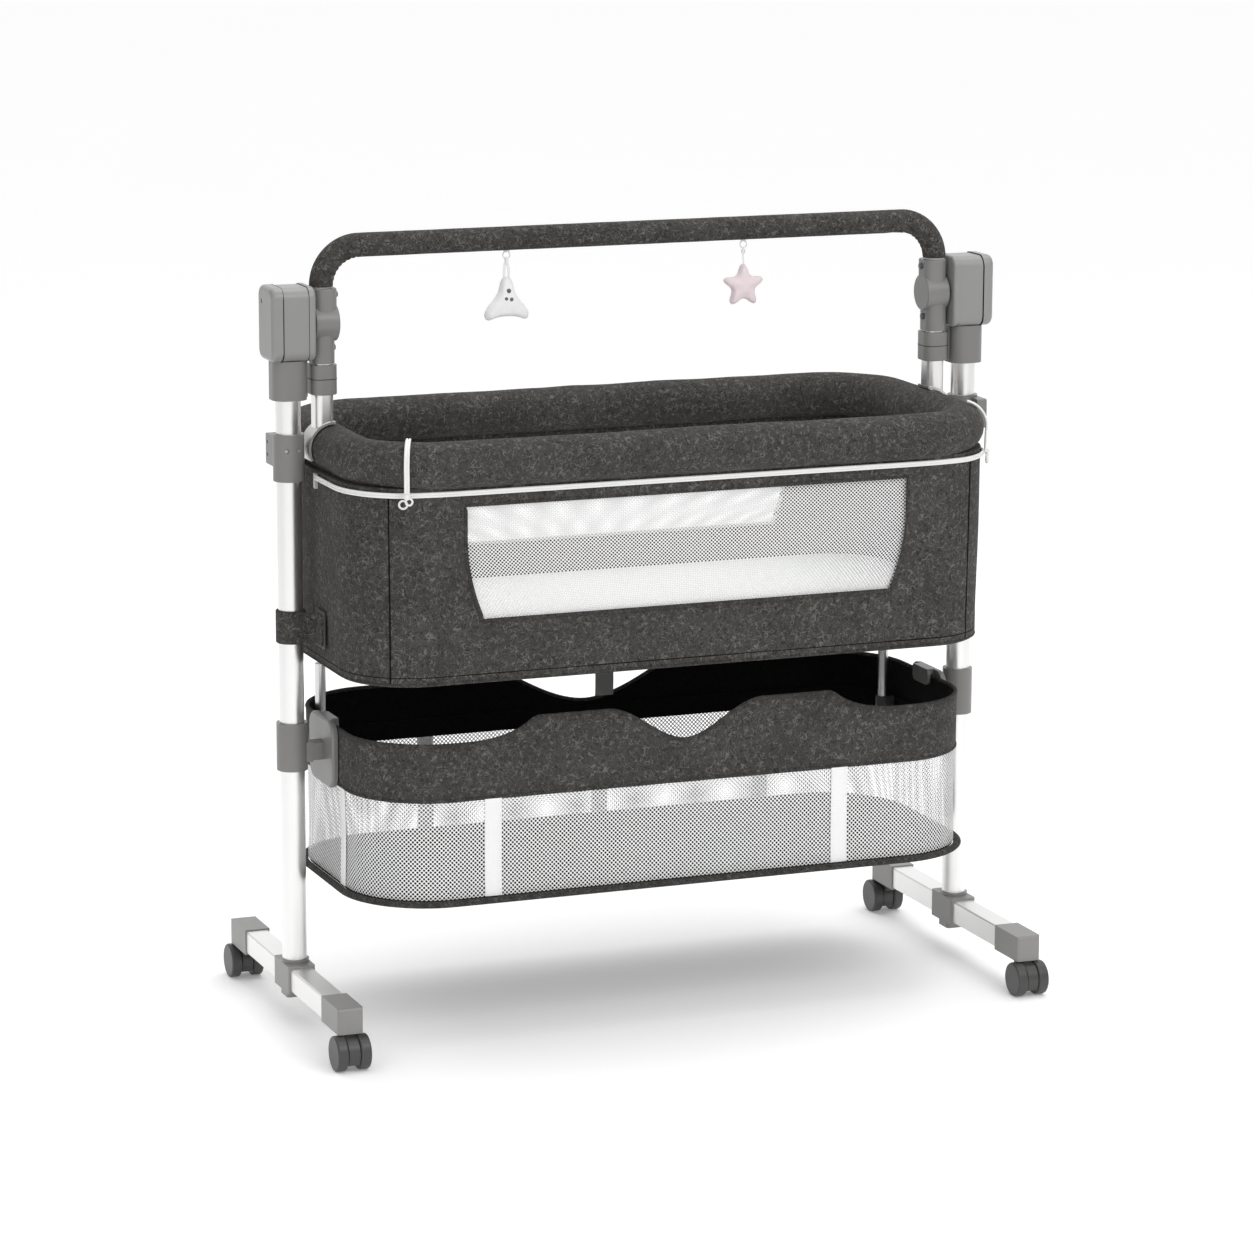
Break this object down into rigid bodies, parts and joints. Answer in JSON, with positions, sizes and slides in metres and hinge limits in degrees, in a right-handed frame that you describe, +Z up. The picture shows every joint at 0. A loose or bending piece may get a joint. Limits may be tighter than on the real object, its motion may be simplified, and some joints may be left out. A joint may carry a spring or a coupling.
{
  "type": "bassinet on stand",
  "caption": "Rocking bassinet hung between two castered posts, with drive boxes, padded rim, net windows, toy bar and net storage basket.",
  "frame": {"origin": "on the floor, below the middle of the bed", "axes": "+X along the bed towards the right post, front towards -Y, +Z up"},
  "size_m": [0.998, 0.502, 1.0205],
  "materials": {
    "grey_plastic": "satin",
    "dark_plastic": "satin",
    "white_tube": "satin",
    "steel": "satin",
    "bar_tube": "gloss",
    "fabric_dark": "woven",
    "webbing_grey": "woven",
    "net_white": "net",
    "webbing_white": "woven",
    "board": "matte",
    "mattress_cloth": "knitted",
    "cord_white": "braided",
    "toy_white": "plush",
    "toy_pink": "plush",
    "copper_coil": "enamelled",
    "circuit_board": "satin",
    "magnet_arm": "satin"
  },
  "bodies": {
    "stand": {"basket_band": "fabric_dark", "basket_brackets": "grey_plastic", "basket_clamps": "grey_plastic", "basket_floor": "board", "basket_frame": "steel", "basket_net": "net_white", "basket_piping": "fabric_dark", "basket_webbing": "webbing_white", "box_bodies": "grey_plastic", "box_inner_covers": "grey_plastic", "box_outer_covers": "grey_plastic", "bracket_screws": "steel", "control_board": "circuit_board", "cover_screws": "steel", "drive_coil": "copper_coil", "foot_end_caps": "grey_plastic", "foot_saddles": "grey_plastic", "foot_tubes": "white_tube", "post_brackets": "grey_plastic", "post_collars": "grey_plastic", "post_straps": "fabric_dark", "posts": "white_tube", "shaft_bearings": "steel", "stop_rod_clips": "grey_plastic", "stop_rods": "steel"},
    "cradle": {"pivot_hub_left": "grey_plastic", "pivot_hub_right": "grey_plastic", "pivot_shafts": "steel", "swing_tubes": "white_tube", "tube_collars": "grey_plastic", "rim_brackets": "steel", "rim_screws": "steel", "rim_frame": "steel", "rim_roll": "fabric_dark", "bed_body": "fabric_dark", "window_nets": "net_white", "bed_floor_board": "board", "magnet_arm": "magnet_arm", "strap_patches": "fabric_dark", "hanging_strap": "webbing_grey", "rim_cord": "cord_white", "cord_hooks": "cord_white", "roll_tie": "cord_white"},
    "mattress": {"mattress": "mattress_cloth"},
    "toy_bar": {"toy_bar_tube": "bar_tube", "toy_bar_sleeve": "fabric_dark"},
    "triangle_toy": {"toy_triangle": "toy_white"},
    "star_toy": {"toy_star": "toy_pink"},
    "bar_button_left": {"bar_button_left": "dark_plastic"},
    "tube_button_left": {"tube_button_left": "dark_plastic"},
    "caster_front_left": {"caster_hood_front_left": "dark_plastic"},
    "wheels_front_left": {"caster_wheels_front_left": "dark_plastic"},
    "caster_rear_left": {"caster_hood_rear_left": "dark_plastic"},
    "wheels_rear_left": {"caster_wheels_rear_left": "dark_plastic"},
    "bar_button_right": {"bar_button_right": "dark_plastic"},
    "tube_button_right": {"tube_button_right": "dark_plastic"},
    "caster_front_right": {"caster_hood_front_right": "dark_plastic"},
    "wheels_front_right": {"caster_wheels_front_right": "dark_plastic"},
    "caster_rear_right": {"caster_hood_rear_right": "dark_plastic"},
    "wheels_rear_right": {"caster_wheels_rear_right": "dark_plastic"}
  },
  "joints": [
    {"name": "cradle_rock", "type": "hinge", "parent": "stand", "child": "cradle", "pos_m": [0, 0, 0.909], "axis": [1, 0, 0], "range_deg": [-8, 8]},
    {"name": "mattress_lift", "type": "slide", "parent": "cradle", "child": "mattress", "axis": [0, 0, 1], "range_m": [0, 0.18]},
    {"name": "toy_bar_lift", "type": "slide", "parent": "cradle", "child": "toy_bar", "axis": [0, 0, 1], "range_m": [0, 0.04]},
    {"name": "triangle_swing", "type": "hinge", "parent": "toy_bar", "child": "triangle_toy", "pos_m": [-0.177, 0, 0.9891], "axis": [1, 0, 0], "range_deg": [-30, 30]},
    {"name": "star_swing", "type": "hinge", "parent": "toy_bar", "child": "star_toy", "pos_m": [0.151, 0, 0.9891], "axis": [1, 0, 0], "range_deg": [-30, 30]},
    {"name": "bar_button_press_left", "type": "slide", "parent": "cradle", "child": "bar_button_left", "axis": [-1, 0, 0], "range_m": [0, 0.002], "stiffness_N_per_m": 400},
    {"name": "tube_button_press_left", "type": "slide", "parent": "cradle", "child": "tube_button_left", "axis": [-1, 0, 0], "range_m": [0, 0.002], "stiffness_N_per_m": 400},
    {"name": "caster_swivel_front_left", "type": "hinge", "parent": "stand", "child": "caster_front_left", "pos_m": [-0.47, -0.2065, 0.04], "axis": [0, 0, 1], "continuous": true},
    {"name": "wheel_roll_front_left", "type": "hinge", "parent": "caster_front_left", "child": "wheels_front_left", "pos_m": [-0.47, -0.2285, 0.0225], "axis": [1, 0, 0], "continuous": true},
    {"name": "caster_swivel_rear_left", "type": "hinge", "parent": "stand", "child": "caster_rear_left", "pos_m": [-0.47, 0.2065, 0.04], "axis": [0, 0, 1], "continuous": true},
    {"name": "wheel_roll_rear_left", "type": "hinge", "parent": "caster_rear_left", "child": "wheels_rear_left", "pos_m": [-0.47, 0.2285, 0.0225], "axis": [1, 0, 0], "continuous": true},
    {"name": "bar_button_press_right", "type": "slide", "parent": "cradle", "child": "bar_button_right", "axis": [1, 0, 0], "range_m": [0, 0.002], "stiffness_N_per_m": 400},
    {"name": "tube_button_press_right", "type": "slide", "parent": "cradle", "child": "tube_button_right", "axis": [1, 0, 0], "range_m": [0, 0.002], "stiffness_N_per_m": 400},
    {"name": "caster_swivel_front_right", "type": "hinge", "parent": "stand", "child": "caster_front_right", "pos_m": [0.47, -0.2065, 0.04], "axis": [0, 0, 1], "continuous": true},
    {"name": "wheel_roll_front_right", "type": "hinge", "parent": "caster_front_right", "child": "wheels_front_right", "pos_m": [0.47, -0.2285, 0.0225], "axis": [1, 0, 0], "continuous": true},
    {"name": "caster_swivel_rear_right", "type": "hinge", "parent": "stand", "child": "caster_rear_right", "pos_m": [0.47, 0.2065, 0.04], "axis": [0, 0, 1], "continuous": true},
    {"name": "wheel_roll_rear_right", "type": "hinge", "parent": "caster_rear_right", "child": "wheels_rear_right", "pos_m": [0.47, 0.2285, 0.0225], "axis": [1, 0, 0], "continuous": true}
  ]
}
